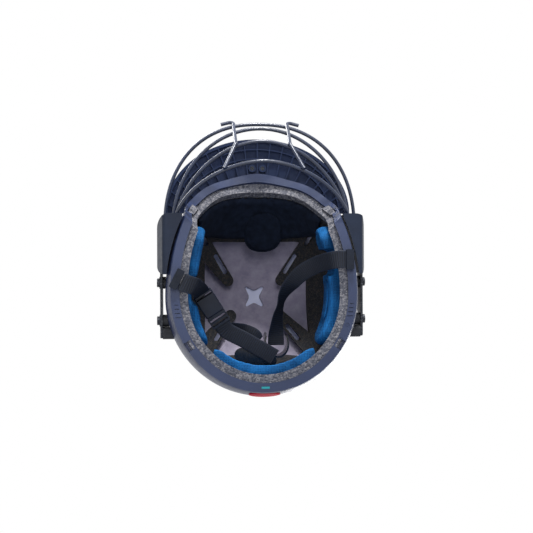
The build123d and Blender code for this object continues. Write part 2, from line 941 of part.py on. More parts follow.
# A place inside the helmet, as shares of half the shell's width
def head_place(share):
    return Vector(*share) * half_width


# Buckle, drawn along its own axes and then placed
def buckle_plane():
    heading = Vector(*buckle_heading_share).normalized()
    across = Vector(-heading.Y, heading.X, 0).normalized()
    return Plane(origin=head_place(buckle_start_share), x_dir=heading, z_dir=heading.cross(across))


def block_at(start, end, half, thickness):
    box = Box(end - start, half * 2, thickness, align=(Align.MIN, Align.CENTER, Align.CENTER))
    return Pos(start, 0, 0) * box


def rounded_block(start, end, half, thickness, radius):
    block = block_at(start, end, half, thickness)
    return fillet(block.edges().filter_by(Axis.Z), radius)


buckle_half = buckle_width / 2
cavity_half = buckle_half - buckle_wall
cavity_thickness = buckle_thickness - buckle_wall * 2
prong_side = cavity_half - slide_gap
prong_root = female_length + slide_gap - root_gap
barb_start = prong_root - barb_setback
barb_peak = barb_start - barb_fall
barb_end = barb_peak - barb_rise
window_low = barb_end - slide_gap
window_high = barb_start + slide_gap


def make_female():
    body = rounded_block(0, female_length, buckle_half, buckle_thickness, buckle_wall)
    body = fillet(body.edges().group_by(Axis.X)[0].filter_by(Axis.Y), buckle_wall)
    cavity = block_at(cavity_start, female_length + overrun, cavity_half, cavity_thickness)
    window = block_at(window_low, window_high, far, cavity_thickness)
    slot = block_at(frame_bar, frame_bar + web_slot, strap_width / 2 + slide_gap, far)
    return body - cavity - window - slot


def make_male():
    start = female_length + slide_gap
    end = start + male_frame_length
    frame = rounded_block(start, end, buckle_half, male_thickness, buckle_wall)
    opening_start = start + frame_root
    opening = block_at(opening_start, end - frame_bar, strap_width / 2 + slide_gap, far)
    middle = (opening_start + end - frame_bar) / 2
    bar = block_at(middle - frame_bar / 2, middle + frame_bar / 2, cavity_half, male_thickness * bar_share)
    keel = block_at(start - keel_length, start, keel_width / 2, cavity_thickness - slide_gap * 2)
    return frame - opening + bar + keel


def make_prong():
    inner = prong_side - prong_width
    points = [
        (prong_root, inner),
        (prong_root, prong_side),
        (barb_start, prong_side),
        (barb_peak, prong_side + barb_height),
        (barb_end, prong_side),
        (prong_root - prong_length, prong_side - prong_width / 2),
        (prong_root - prong_length, inner),
    ]
    face = make_face(Polyline(*points, close=True))
    return extrude(face, amount=prong_thickness / 2, both=True)


def on_buckle(solid):
    return buckle_plane().location * solid


# Webbing through stations, each a centre and the way its width lies
def ribbon(stations, thickness):
    centres = [head_place(share) for share, width in stations]
    sections = []
    for index, (share, width) in enumerate(stations):
        before = centres[max(index - 1, 0)]
        after = centres[min(index + 1, len(centres) - 1)]
        run = (after - before).normalized()
        across = Vector(*width)
        across = (across - run * across.dot(run)).normalized()
        plane = Plane(origin=centres[index], x_dir=across, z_dir=run)
        sections.append(plane * Rectangle(strap_width, thickness))
    return loft(sections, ruled=True)


def make_anchor(share, turn):
    block = Box(anchor_length, strap_width + buckle_wall * 2, anchor_height)
    block = fillet(block.edges().filter_by(Axis.Z), buckle_wall)
    return Pos(head_place(share)) * Rot(0, 0, turn) * block


# Chin cup, an oval band open at the front, with a flat tongue
def cup_oval(inset):
    oval = Ellipse(cup_half_width - inset, cup_half_length - inset)
    return Rot(0, 0, cup_turn) * oval


def make_cup():
    outer = extrude(cup_oval(0), amount=cup_height / 2, both=True)
    inner = extrude(cup_oval(cup_wall), amount=cup_height, both=True)
    mouth = Box((cup_half_width - cup_wall) * 2, far, far, align=(Align.CENTER, Align.MAX, Align.CENTER))
    band = outer - inner - Pos(0, cup_mouth_depth - cup_half_length, 0) * mouth
    outline = Rot(0, 0, tongue_turn) * SlotOverall(cup_tongue_length, cup_tongue_width)
    tongue = Pos(head_place(cup_tongue_share)) * extrude(outline, amount=cup_wall)
    place = Pos(head_place(cup_share))
    return place * band + (tongue - place * inner)


# Everything by name
def sided(name, solid):
    return {name + "_left": solid, name + "_right": other_side(solid)}


def guard_nodes():
    nodes = {name: make_bar(name) for name in bars}
    nodes.update(sided("upright", make_upright()))
    nodes.update(sided("cover", make_cover()))
    nodes.update(sided("arm", make_arm()))
    return nodes


def bolt_nodes():
    nodes = {}
    for end, y in zip(("front", "rear"), bolt_places()):
        nodes.update(sided("washer_" + end, make_washer(y)))
        nodes.update(sided("bolt_" + end, make_bolt(y)))
        nodes.update(sided("boss_" + end, make_boss(y)))
        nodes.update(sided("nut_" + end, make_nut(y)))
    nodes.update(sided("end_block", make_end_block()))
    return nodes


def shell_nodes():
    return {
        "shell": make_shell(),
        "rim_trim": make_rim_trim(),
        "rear_insert": make_rear_insert(),
        "badge": make_badge(),
        "peak": make_peak(),
        "peak_screw_right": make_peak_screw(*screw_places()[0]),
        "peak_screw_left": make_peak_screw(*screw_places()[1]),
    }


def liner_nodes():
    backing_start = pad_outer + forehead_thickness + pad_gap
    tongue_start = backing_start + backing_thickness + seat_gap
    nodes = {
        "liner_ring": make_liner_ring(),
        "lining": make_lining(),
        "crown_pad": make_crown_pad(),
        "crown_liner": make_crown_liner(),
        "forehead_pad": make_forehead_pad(),
        "forehead_backing": make_tongue(backing_start, backing_margin, backing_thickness),
        "forehead_tongue": make_tongue(tongue_start, 0, tongue_thickness),
        "rear_pad": make_rear_pad(),
    }
    nodes["side_pad_left"] = make_side_pad(relief_left_y)
    nodes["side_pad_right"] = other_side(make_side_pad(relief_right_y))
    nodes["side_flap_left"] = make_side_flap(flap_left_front_y)
    nodes["side_flap_right"] = other_side(make_side_flap(flap_right_front_y))
    return nodes


def strap_nodes():
    prong = make_prong()
    return {
        "anchor_left": make_anchor(anchor_left_share, 0),
        "anchor_right": make_anchor(anchor_right_share, anchor_right_turn),
        "web_left": ribbon(web_left_shares, strap_thickness),
        "web_right": ribbon(web_right_shares, strap_thickness),
        "web_double": ribbon(web_double_shares, strap_thickness * 2),
        "web_tail": ribbon(web_tail_shares, strap_thickness),
        "buckle_female": on_buckle(make_female()),
        "buckle_male": on_buckle(make_male()),
        "prong_right": on_buckle(prong),
        "prong_left": on_buckle(mirror(prong, about=Plane.XZ)),
        "chin_cup": make_cup(),
    }


def build():
    os.makedirs("parts", exist_ok=True)
    groups = [shell_nodes(), liner_nodes(), guard_nodes(), bolt_nodes(), strap_nodes()]
    for group in groups:
        for name, solid in group.items():
            solid.label = name
            export_step(solid, "parts/" + name + ".step")


build()
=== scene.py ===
import math
import bpy
from mathutils import Matrix, Vector, noise


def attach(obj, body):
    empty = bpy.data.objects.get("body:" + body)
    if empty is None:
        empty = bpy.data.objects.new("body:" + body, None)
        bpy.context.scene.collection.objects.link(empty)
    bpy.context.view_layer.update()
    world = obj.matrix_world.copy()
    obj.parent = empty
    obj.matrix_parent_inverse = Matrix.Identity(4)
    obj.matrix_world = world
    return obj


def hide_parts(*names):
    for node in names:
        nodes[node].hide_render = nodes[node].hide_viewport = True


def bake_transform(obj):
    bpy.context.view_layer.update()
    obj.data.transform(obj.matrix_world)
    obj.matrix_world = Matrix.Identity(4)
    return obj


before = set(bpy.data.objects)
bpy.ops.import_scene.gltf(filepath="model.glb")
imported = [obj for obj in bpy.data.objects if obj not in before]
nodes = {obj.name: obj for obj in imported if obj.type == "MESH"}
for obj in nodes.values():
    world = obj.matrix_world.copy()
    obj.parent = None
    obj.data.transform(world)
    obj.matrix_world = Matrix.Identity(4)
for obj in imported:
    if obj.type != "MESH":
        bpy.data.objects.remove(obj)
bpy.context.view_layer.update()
mm = 0.001

# The camera is under the helmet and looks up into it, a little from the wearer's right, so that
# the front of the helmet is at the top of the picture.
camera_place = Vector((-0.0665, 0.0094, -0.7753))
camera_forward = Vector((0.08733, 0.00037, 0.99618)).normalized()
camera_up = Vector((0.00454, -0.99999, -0.00002))
camera_right = camera_forward.cross(camera_up).normalized()
camera_data = bpy.data.cameras.new("camera")
camera_data.lens = 47.28
camera_data.sensor_width = 36
camera = bpy.data.objects.new("camera", camera_data)
bpy.context.collection.objects.link(camera)
turn = Matrix((camera_right, camera_right.cross(camera_forward), -camera_forward)).transposed()
camera.matrix_world = Matrix.Translation(camera_place) @ turn.to_4x4()
bpy.context.scene.camera = camera
bpy.context.scene.view_settings.view_transform = "Standard"


# The studio: a pale floor under the helmet, seen only from above and by the camera, so that the
# view from below is clear. It takes the helmet's shadow and fades into a plain white surround.
def linear(hex_colour):
    """An sRGB hex colour as the linear values that shaders take."""
    parts = [int(hex_colour[i:i + 2], 16) / 255 for i in (1, 3, 5)]
    return (*[p / 12.92 if p <= 0.04045 else ((p + 0.055) / 1.055) ** 2.4 for p in parts], 1.0)


def add_node(tree, kind, inputs=None, stops=None, **settings):
    """Adds one node with its settings, its inputs as values or links, and a ramp's stops."""
    node = tree.nodes.new(kind)
    for name, value in settings.items():
        setattr(node, name, value)
    for name, value in (inputs or {}).items():
        if isinstance(value, bpy.types.NodeSocket):
            tree.links.new(value, node.inputs[name])
        else:
            node.inputs[name].default_value = value
    for index, (place, colour) in enumerate(stops or []):
        ends = node.color_ramp.elements
        stop = ends[index] if index < 2 else ends.new(place)
        stop.position = place
        stop.color = linear(colour)
    return node


floor_reach = 3.0
floor_drop = 0.2 * mm
fade_start, fade_end = 0.3, 0.75
corners = [(x * floor_reach, y * floor_reach, 0) for x, y in ((-1, -1), (1, -1), (1, 1), (-1, 1))]
floor_mesh = bpy.data.meshes.new("floor")
floor_mesh.from_pydata(corners, [], [(0, 1, 2, 3)])
floor = bpy.data.objects.new("floor", floor_mesh)
floor.location.z = -floor_drop
bpy.context.collection.objects.link(floor)
paper = bpy.data.materials.new("white_paper_floor")
paper.use_nodes = True
tree = paper.node_tree
sheet = tree.nodes["Principled BSDF"]
sheet.inputs["Base Color"].default_value = linear("#f4f4f4")
sheet.inputs["Roughness"].default_value = 0.9
camera_ray = add_node(tree, "ShaderNodeLightPath").outputs["Is Camera Ray"]
back = add_node(tree, "ShaderNodeNewGeometry").outputs["Backfacing"]
front = add_node(tree, "ShaderNodeMath", {0: 1.0, 1: back}, operation="SUBTRACT").outputs[0]
seen = add_node(tree, "ShaderNodeMath", {0: camera_ray, 1: front}, operation="MULTIPLY").outputs[0]
place = add_node(tree, "ShaderNodeTexCoord").outputs["Object"]
away = add_node(tree, "ShaderNodeVectorMath", {0: place}, operation="LENGTH").outputs["Value"]
fade = {0: away, 1: fade_start, 2: fade_end}
far = add_node(tree, "ShaderNodeMapRange", fade, interpolation_type="SMOOTHSTEP").outputs[0]
bright = add_node(tree, "ShaderNodeEmission", {"Color": (1, 1, 1, 1), "Strength": 1.0}).outputs[0]
surface = add_node(tree, "ShaderNodeMixShader", {0: far, 1: sheet.outputs[0], 2: bright}).outputs[0]
clear = add_node(tree, "ShaderNodeBsdfTransparent").outputs[0]
shown = add_node(tree, "ShaderNodeMixShader", {0: seen, 1: clear, 2: surface}).outputs[0]
tree.links.new(shown, tree.nodes["Material Output"].inputs["Surface"])
floor_mesh.materials.append(paper)

world = bpy.data.worlds.new("white_surround")
world.use_nodes = True
bpy.context.scene.world = world
tree = world.node_tree
rays = add_node(tree, "ShaderNodeLightPath").outputs
plain = {0: rays["Is Camera Ray"], 1: rays["Is Glossy Ray"]}
plain = add_node(tree, "ShaderNodeMath", plain, operation="MAXIMUM").outputs[0]
plain = {0: plain, 1: rays["Is Transmission Ray"]}
plain = add_node(tree, "ShaderNodeMath", plain, operation="MAXIMUM").outputs[0]
ambient = {"Color": linear("#dbe6ff"), "Strength": 0.42}
ambient = add_node(tree, "ShaderNodeBackground", ambient).outputs[0]
white = add_node(tree, "ShaderNodeBackground", {"Color": (1, 1, 1, 1), "Strength": 1.0}).outputs[0]
sky = add_node(tree, "ShaderNodeMixShader", {0: plain, 1: ambient, 2: white}).outputs[0]
tree.links.new(sky, tree.nodes["World Output"].inputs["Surface"])

# Lamps: the place, the size in metres and the power in watts of each square lamp. The one before
# the face is the strongest, since it lights the bowl past the guard.
lamps = {
    "lamp_face": ((0.1, -1.65, -0.3), 0.35, 46.0),
    "lamp_below_front": ((0.12, -0.9, -1.2), 0.8, 8.0),
    "lamp_below_camera": ((-0.5, 0.4, -1.1), 0.9, 2.5),
    "lamp_above_front": ((-0.7, -1.0, 1.3), 0.9, 24.0),
    "lamp_above_back": ((0.9, 0.9, 1.4), 1.0, 16.0),
}
lamp_target = Vector((0, 0, 0.06))
for name, (place, size, power) in lamps.items():
    lamp_data = bpy.data.lights.new(name, "AREA")
    lamp_data.size = size
    lamp_data.energy = power
    lamp = bpy.data.objects.new(name, lamp_data)
    lamp.location = place
    lamp.rotation_euler = (lamp_target - lamp.location).to_track_quat("-Z", "Y").to_euler()
    bpy.context.collection.objects.link(lamp)


# Shell: an injection-moulded ABS dome in navy, with a satin skin. Moulding leaves a faint orange
# peel, and use leaves fine scuffs that are a little rougher than the rest.
def start_material(name, colour, roughness):
    """A material with object coordinates, its colour and its roughness set on the shader."""
    material = bpy.data.materials.new(name)
    material.use_nodes = True
    tree = material.node_tree
    shader = tree.nodes["Principled BSDF"]
    shader.inputs["Base Color"].default_value = linear(colour)
    shader.inputs["Roughness"].default_value = roughness
    place = tree.nodes.new("ShaderNodeTexCoord").outputs["Object"]
    return material, tree, shader, place


def moulded(name, dark, light, roughness, peel_mm, depth_mm, shine=0.5):
    """Moulded plastic: a mottle of two close colours, an orange peel and rougher scuffs."""
    material, tree, shader, place = start_material(name, dark, roughness)
    shader.inputs["Specular IOR Level"].default_value = shine
    mottle = add_node(tree, "ShaderNodeTexNoise", {"Vector": place, "Scale": 1 / (35 * mm), "Detail": 4.0})
    tint = add_node(tree, "ShaderNodeValToRGB", {0: mottle.outputs[0]}, [(0.3, dark), (0.75, light)])
    tree.links.new(tint.outputs[0], shader.inputs["Base Color"])
    scuff = {"Vector": place, "Scale": 1 / (6 * mm), "Detail": 8.0, "Roughness": 0.7}
    scuff = add_node(tree, "ShaderNodeTexNoise", scuff).outputs[0]
    worn = {0: scuff, 1: 0.35, 2: 0.75, 3: roughness - 0.06, 4: roughness + 0.14}
    worn = add_node(tree, "ShaderNodeMapRange", worn)
    tree.links.new(worn.outputs[0], shader.inputs["Roughness"])
    peel = {"Vector": place, "Scale": 1 / (peel_mm * mm), "Detail": 3.0}
    peel = add_node(tree, "ShaderNodeTexNoise", peel).outputs[0]
    bump = {"Height": peel, "Distance": depth_mm * mm, "Strength": 0.6}
    bump = add_node(tree, "ShaderNodeBump", bump)
    tree.links.new(bump.outputs[0], shader.inputs["Normal"])
    return material


def dress(material, *names):
    """Gives CAD nodes, by name, this material in all their slots."""
    for name in names:
        for slot in nodes[name].material_slots:
            slot.material = material


shell_abs = moulded("abs_moulded_navy_shell", "#1e2847", "#263256", 0.36, 2.5, 0.05)
dress(shell_abs, "shell")

# Rim trim: a separate ABS moulding with a wide flange that holds the liner down. Its skin is a
# little paler and duller than the shell's, with a finer peel.
trim_abs = moulded("abs_moulded_navy_trim", "#212c49", "#293657", 0.42, 1.6, 0.06)
dress(trim_abs, "rim_trim")

# Peak: one nylon moulding, ribbed below, held by two screws. A spark-eroded mould leaves its skin
# matt and darker than the shell.
peak_nylon = moulded("nylon_moulded_navy_peak", "#141f38", "#1c2a49", 0.55, 1.2, 0.08, 0.22)
dress(peak_nylon, "peak")

# Ear covers: a softer polypropylene moulding fixed over the guard's sides. It is almost black,
# with a pebbled grain that takes the shine off.
cover_polymer = moulded("polypropylene_grained_cover", "#151d2d", "#202a3d", 0.5, 1.5, 0.18, 0.25)
dress(cover_polymer, "cover_left", "cover_right")

# Guard wires: 4.2 mm steel rod, bent, welded and dipped in nylon, which leaves a smooth dark
# blue-grey coat with long pale reflections.
wire_coat = moulded("nylon_dipped_steel_wire", "#1b2438", "#26314a", 0.3, 3.0, 0.04)
wire_coat.node_tree.nodes["Principled BSDF"].inputs["Coat Weight"].default_value = 0.2
dress(wire_coat, *[n for n in nodes if n.startswith(("bar_", "upright_"))])

# Guard arms, bolts, washers and nuts: pressed and turned steel with a black phosphate finish,
# worn to bare metal in small specks.
black_steel, tree, shader, place = start_material("steel_black_phosphate", "#2b2e36", 0.42)
shader.inputs["Metallic"].default_value = 0.7
grit = {"Vector": place, "Scale": 1 / (1.4 * mm), "Detail": 6.0, "Roughness": 0.75}
grit = add_node(tree, "ShaderNodeTexNoise", grit).outputs[0]
specks = add_node(tree, "ShaderNodeValToRGB", {0: grit}, [(0.55, "#25282f"), (0.74, "#8d9096")])
tree.links.new(specks.outputs[0], shader.inputs["Base Color"])
bump = add_node(tree, "ShaderNodeBump", {"Height": grit, "Distance": 0.05 * mm, "Strength": 0.5})
tree.links.new(bump.outputs[0], shader.inputs["Normal"])
hardware = [n for n in nodes if n.startswith(("arm_", "bolt_", "washer_", "nut_", "peak_screw"))]
dress(black_steel, *hardware)

# Bosses and end blocks: moulded EPDM rubber between the arms and the shell and at the arms' rear
# ends, dull and dusty.
rubber = moulded("epdm_rubber_black", "#16181d", "#22252b", 0.7, 1.0, 0.08)
dress(rubber, *[n for n in nodes if n.startswith(("boss_", "end_block"))])

# Badge: a plain oval plate of red rubberised vinyl, bonded low on the back of the shell. Handling
# has taken its shine.
badge_vinyl = moulded("vinyl_red_plate", "#c4182e", "#d62640", 0.6, 8.0, 0.03, 0.15)
dress(badge_vinyl, "badge")

# Insert: a short turquoise rubber tongue pressed into the rear slot of the rim. Its skin is
# smooth and dull.
insert_rubber = moulded("rubber_turquoise", "#1f8f96", "#2fa9ad", 0.6, 1.0, 0.05)
dress(insert_rubber, "rear_insert")


# Foam ring and crown liner: beads of expanded polypropylene fused in a mould. The cut and pressed
# bead walls show as pale and dark specks of 1.8 mm, with finer grit between them.
def bead_foam(name, dark, middle, pale, bead_mm=1.8, spread=0.24):
    """Fused foam beads in three tones, with their walls sunk."""
    material, tree, shader, place = start_material(name, middle, 0.85)
    beads = {"Vector": place, "Scale": 1 / (bead_mm * mm)}
    beads = add_node(tree, "ShaderNodeTexVoronoi", beads).outputs
    value = add_node(tree, "ShaderNodeSeparateColor", {0: beads["Color"]}).outputs[0]
    grit = {"Vector": place, "Scale": 1 / (1.3 * mm), "Detail": 5.0, "Roughness": 0.7}
    grit = add_node(tree, "ShaderNodeTexNoise", grit).outputs[0]
    both = add_node(tree, "ShaderNodeMix", {0: 0.55, 2: value, 3: grit}, data_type="FLOAT").outputs[0]
    stops = [(0.5 - spread, dark), (0.5 + spread, pale), (0.5, middle)]
    speckle = add_node(tree, "ShaderNodeValToRGB", {0: both}, stops)
    tree.links.new(speckle.outputs[0], shader.inputs["Base Color"])
    wall = add_node(tree, "ShaderNodeMath", {0: beads["Distance"], 1: grit}, operation="ADD").outputs[0]
    bump = {"Height": wall, "Distance": 0.5 * mm, "Strength": 0.7}
    bump = add_node(tree, "ShaderNodeBump", bump, invert=True)
    tree.links.new(bump.outputs[0], shader.inputs["Normal"])
    return material


ring_foam = bead_foam("expanded_polypropylene_grey", "#3f4149", "#5f6068", "#8d8a8b")
dress(ring_foam, "liner_ring")
liner_foam = bead_foam("expanded_polypropylene_charcoal", "#0b0e14", "#161a21", "#3b342e")
dress(liner_foam, "crown_liner")

# Inner skin: a dull sheet against the inside of the shell, seen only through the vents and the star. Its
# pale lavender is painted light: it is the colour of the white backdrop, in shade, seen through open
# vents.
vent_light_sheet = moulded("painted_vent_light_lavender", "#c9cdec", "#dfe2f8", 0.6, 2.0, 0.05)
dress(vent_light_sheet, "lining")


# Crown pad: needled polyester felt in mauve-grey, die-cut with a star and vents and bonded to the
# liner. Rubbing leaves paler patches, and loose fibres give it a soft sheen.
def apply_modifiers(piece):
    """Bakes the modifiers into the piece's own mesh."""
    bpy.context.view_layer.update()
    evaluated = piece.evaluated_get(bpy.context.evaluated_depsgraph_get())
    final_mesh = bpy.data.meshes.new_from_object(evaluated)
    piece.modifiers.clear()
    piece.data = final_mesh


def soft_copy(node, name, cell_mm, material):
    """A copy of a CAD solid in even cells, ready to be softened, that stands for that node."""
    mesh = nodes[node].data.copy()
    piece = bpy.data.objects.new(name, mesh)
    bpy.context.collection.objects.link(piece)
    cells = piece.modifiers.new("cells", "REMESH")
    cells.mode = "VOXEL"
    cells.voxel_size = cell_mm * mm
    cells.use_smooth_shade = True
    apply_modifiers(piece)
    piece.data.materials.clear()
    piece.data.materials.append(material)
    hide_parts(node)
    return piece


def roughen(piece, lump_mm, height_mm, seed):
    """Moves each point along its normal by a soft random amount."""
    normals = [v.normal.copy() for v in piece.data.vertices]
    for vertex, normal in zip(piece.data.vertices, normals):
        lump = noise.noise(vertex.co / (lump_mm * mm) + Vector((seed, seed, seed)))
        vertex.co += normal * lump * height_mm * mm


felt, tree, shader, place = start_material("polyester_felt_mauve", "#857a86", 0.95)
shader.inputs["Sheen Weight"].default_value = 0.35
shader.inputs["Sheen Roughness"].default_value = 0.5
blotch = {"Vector": place, "Scale": 1 / (14 * mm), "Detail": 6.0, "Roughness": 0.65}
blotch = add_node(tree, "ShaderNodeTexNoise", blotch).outputs[0]
tone = add_node(tree, "ShaderNodeValToRGB", {0: blotch}, [(0.3, "#837d90"), (0.7, "#a59eae")])
tree.links.new(tone.outputs[0], shader.inputs["Base Color"])
fibre = {"Vector": place, "Scale": 1 / (1.1 * mm), "Detail": 8.0, "Roughness": 0.8}
fibre = add_node(tree, "ShaderNodeTexNoise", fibre).outputs[0]
bump = add_node(tree, "ShaderNodeBump", {"Height": fibre, "Distance": 0.4 * mm, "Strength": 0.6})
tree.links.new(bump.outputs[0], shader.inputs["Normal"])
crown_felt = soft_copy("crown_pad", "felt_crown_pad", 1.3, felt)
roughen(crown_felt, 12, 0.35, 3)
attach(crown_felt, "helmet")


# Forehead pad: brushed polyester over foam, dark navy, in two parts joined by a sewn seam, with a
# rounded tongue on a wider backing sewn over it.
def inflate(piece, pressure, cap_mm, frames=20):
    """Swells a padded piece with cloth under air pressure, and holds each point near its start."""
    before = [v.co.copy() for v in piece.data.vertices]
    cloth = piece.modifiers.new("cloth", "CLOTH")
    cloth.settings.use_pressure = True
    cloth.settings.uniform_pressure_force = pressure
    cloth.settings.effector_weights.gravity = 0
    cloth.settings.shrink_min = -0.03
    for number in range(1, frames + 1):
        bpy.context.scene.frame_set(number)
    apply_modifiers(piece)
    for vertex, start in zip(piece.data.vertices, before):
        move = vertex.co - start
        if move.length > cap_mm * mm:
            vertex.co = start + move.normalized() * cap_mm * mm


def finish_soft(piece):
    """One level of subdivision and smooth shading."""
    smooth = piece.modifiers.new("smooth", "SUBSURF")
    smooth.levels = 1
    smooth.render_levels = 1
    apply_modifiers(piece)
    piece.data.shade_smooth()


dark_cloth, tree, shader, place = start_material("brushed_polyester_navy", "#151b2a", 0.95)
shader.inputs["Specular IOR Level"].default_value = 0.15
nap = add_node(tree, "ShaderNodeTexNoise", {"Vector": place, "Scale": 1 / (9 * mm), "Detail": 6.0})
tone = add_node(tree, "ShaderNodeValToRGB", {0: nap.outputs[0]}, [(0.3, "#101622"), (0.7, "#1c2434")])
tree.links.new(tone.outputs[0], shader.inputs["Base Color"])
knit = add_node(tree, "ShaderNodeTexNoise", {"Vector": place, "Scale": 1 / (0.8 * mm), "Detail": 4.0})
bump = {"Height": knit.outputs[0], "Distance": 0.2 * mm, "Strength": 0.5}
bump = add_node(tree, "ShaderNodeBump", bump)
tree.links.new(bump.outputs[0], shader.inputs["Normal"])
for node, cell_mm, cap_mm in (
    ("forehead_pad", 3.0, 1.2),
    ("forehead_backing", 1.2, 0.2),
    ("forehead_tongue", 1.6, 0.8),
):
    pad = soft_copy(node, "cloth_" + node, cell_mm, dark_cloth)
    inflate(pad, 3.0, cap_mm)
    roughen(pad, 18, 0.5, 7)
    finish_soft(pad)
    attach(pad, "helmet")

# Side and rear pads: slit foam rolls in a bright blue polyester spacer mesh. The knit shows as rows
# of small holes, drawn at 1.8 mm, a little coarser than the real 1.2 mm.
blue_mesh, tree, shader, place = start_material("spacer_mesh_blue", "#1a6fb5", 0.8)
shader.inputs["Specular IOR Level"].default_value = 0.2
holes = {"Vector": place, "Scale": 1 / (1.8 * mm), "Randomness": 0.25}
holes = add_node(tree, "ShaderNodeTexVoronoi", holes).outputs["Distance"]
thread = add_node(tree, "ShaderNodeValToRGB", {0: holes}, [(0.15, "#0a3c6b"), (0.55, "#1c6cab")])
patch = add_node(tree, "ShaderNodeTexNoise", {"Vector": place, "Scale": 1 / (20 * mm), "Detail": 3.0})
shade = add_node(tree, "ShaderNodeValToRGB", {0: patch.outputs[0]}, [(0.3, "#c9c9c9"), (0.65, "#ffffff")])
tone = {0: 1.0, 6: thread.outputs[0], 7: shade.outputs[0]}
tone = add_node(tree, "ShaderNodeMix", tone, data_type="RGBA", blend_type="MULTIPLY")
tree.links.new(tone.outputs[2], shader.inputs["Base Color"])
bump = add_node(tree, "ShaderNodeBump", {"Height": holes, "Distance": 0.4 * mm, "Strength": 0.8})
tree.links.new(bump.outputs[0], shader.inputs["Normal"])
for node, cell_mm, cap_mm in (
    ("side_pad_left", 3.0, 1.2),
    ("side_pad_right", 3.0, 1.2),
    ("side_flap_left", 1.4, 0.6),
    ("side_flap_right", 1.4, 0.6),
    ("rear_pad", 2.4, 1.0),
):
    pad = soft_copy(node, "mesh_" + node, cell_mm, blue_mesh)
    inflate(pad, 3.0, cap_mm)
    roughen(pad, 22, 0.8, 11)
    finish_soft(pad)
    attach(pad, "helmet")


# Chin strap: 20 mm woven black polyester webbing, sewn in at both ends, in four lengths: left anchor
# to cup, right anchor to buckle, and two from the buckle to the cup. Its cross ribs are drawn 2.6 mm
# apart, about twice the real pitch, so that they show.
def smooth_through(values, steps=24):
    """Values on a smooth curve through the given ones."""
    out = []
    last = len(values) - 1
    for i in range(last):
        a, b, c, d = values[max(i - 1, 0)], values[i], values[i + 1], values[min(i + 2, last)]
        for k in range(steps):
            t = k / steps
            bend = (a * 2 - b * 5 + c * 4 - d) * t**2
            curve = (b * 2) + (c - a) * t + bend + (b * 3 - c * 3 + d - a) * t**3
            out.append(curve * 0.5)
    out.append(values[last])
    return out


def even_stations(stations, step):
    """Distance, centre, width and run at even steps along a strap's route."""
    centres = smooth_through([Vector(c) * mm for c, w in stations])
    widths = smooth_through([Vector(w).normalized() for c, w in stations])
    lengths = [0.0]
    for a, b in zip(centres, centres[1:]):
        lengths.append(lengths[-1] + (b - a).length)
    count = max(2, round(lengths[-1] / step))
    out = []
    k = 0
    for n in range(count + 1):
        along = lengths[-1] * n / count
        while k < len(lengths) - 2 and lengths[k + 1] < along:
            k += 1
        share = (along - lengths[k]) / max(lengths[k + 1] - lengths[k], 1e-9)
        run = (centres[k + 1] - centres[k]).normalized()
        wide = widths[k].lerp(widths[k + 1], share)
        wide = (wide - run * wide.dot(run)).normalized()
        out.append((along, centres[k].lerp(centres[k + 1], share), wide, run))
    return out


strap_wide_mm = 20.0
rib_pitch_mm = 2.6
rib_depth_mm = 0.5
selvedge_mm = 2.0
selvedge_slope_mm = 1.2
rings_per_rib = 4
ring_points = 20
side_squareness = 0.25
face_squareness = 0.5
rib_roundness = 0.6


def webbing(name, stations, thick_mm, material):
    """A woven strap with cross ribs on both faces and plain selvedges, with painted shade darkening its
    colour between the ribs.
    """
    points = []
    groove_shade_tones = []
    places = even_stations(stations, rib_pitch_mm * mm / rings_per_rib)
    for along, centre, wide, run in places:
        up = wide.cross(run)
        wave = 0.5 + 0.5 * math.cos(2 * math.pi * along / (rib_pitch_mm * mm))
        rib = wave ** rib_roundness
        for k in range(ring_points):
            turn = 2 * math.pi * k / ring_points
            c, s = math.cos(turn), math.sin(turn)
            x = math.copysign(abs(c) ** side_squareness, c) * strap_wide_mm / 2
            slope = (abs(x) - strap_wide_mm / 2 + selvedge_mm) / selvedge_slope_mm
            flat = 1 - min(1, max(0, slope))
            half_thick = thick_mm / 2 - rib_depth_mm * (1 - rib) * flat
            z = math.copysign(abs(s) ** face_squareness, s) * half_thick
            points.append(centre + wide * x * mm + up * z * mm)
            # Painted shade: each point's tone falls from 1 on a rib's crest to 0 in the hollow between
            # ribs, across the flat of the strap.
            groove_shade_tones.append(1 - (1 - rib) * flat)
    faces = []
    for i in range(0, len(points) - ring_points, ring_points):
        for k in range(ring_points):
            n = (k + 1) % ring_points
            faces.append((i + k, i + n, i + ring_points + n, i + ring_points + k))
    faces.append(tuple(reversed(range(ring_points))))
    faces.append(tuple(range(len(points) - ring_points, len(points))))
    mesh = bpy.data.meshes.new(name)
    mesh.from_pydata(points, [], faces)
    mesh.update()
    mesh.shade_smooth()
    mesh.materials.append(material)
    groove_painted_shade = mesh.attributes.new("rib", "FLOAT", "POINT")
    groove_painted_shade.data.foreach_set("value", groove_shade_tones)
    piece = bpy.data.objects.new(name, mesh)
    bpy.context.collection.objects.link(piece)
    return piece


strap_weave, tree, shader, place = start_material("polyester_webbing_black", "#10141e", 0.6)
shader.inputs["Specular IOR Level"].default_value = 0.3
yarn = {"Vector": place, "Scale": 1 / (1.0 * mm), "Detail": 5.0, "Roughness": 0.7}
yarn = add_node(tree, "ShaderNodeTexNoise", yarn).outputs[0]
thread = add_node(tree, "ShaderNodeValToRGB", {0: yarn}, [(0.35, "#0d121c"), (0.7, "#1e2637")])
